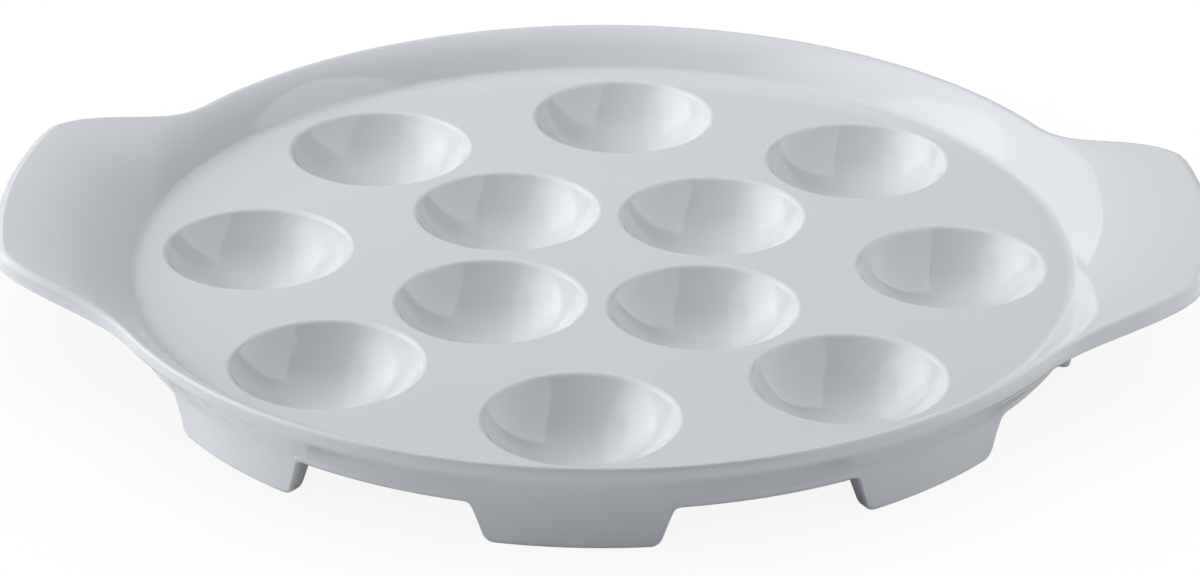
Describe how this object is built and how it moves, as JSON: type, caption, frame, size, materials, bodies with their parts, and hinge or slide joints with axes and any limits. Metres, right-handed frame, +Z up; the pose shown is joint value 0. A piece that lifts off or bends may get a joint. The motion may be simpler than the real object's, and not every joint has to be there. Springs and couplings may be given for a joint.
{
  "type": "escargot dish",
  "caption": "Round white porcelain snail dish with sunken wells in a flat floor, a low flared rim drawn out into broad tab handles on opposite sides, and short curved feet.",
  "frame": {"origin": "on the table, under the middle of the dish", "axes": "+X through the middle of the right handle, +Y away from the viewer, +Z up"},
  "size_m": [0.2432, 0.2076, 0.0267],
  "materials": {
    "glazed_porcelain": "gloss glaze",
    "foot_porcelain": "gloss glaze with a bare sole"
  },
  "bodies": {
    "root": {"tray": "glazed_porcelain", "left_handle": "glazed_porcelain", "right_handle": "glazed_porcelain", "foot_right": "foot_porcelain", "foot_back_right": "foot_porcelain", "foot_back": "foot_porcelain", "foot_back_left": "foot_porcelain", "foot_left": "foot_porcelain", "foot_front_left": "foot_porcelain", "foot_front": "foot_porcelain", "foot_front_right": "foot_porcelain"}
  },
  "joints": []
}
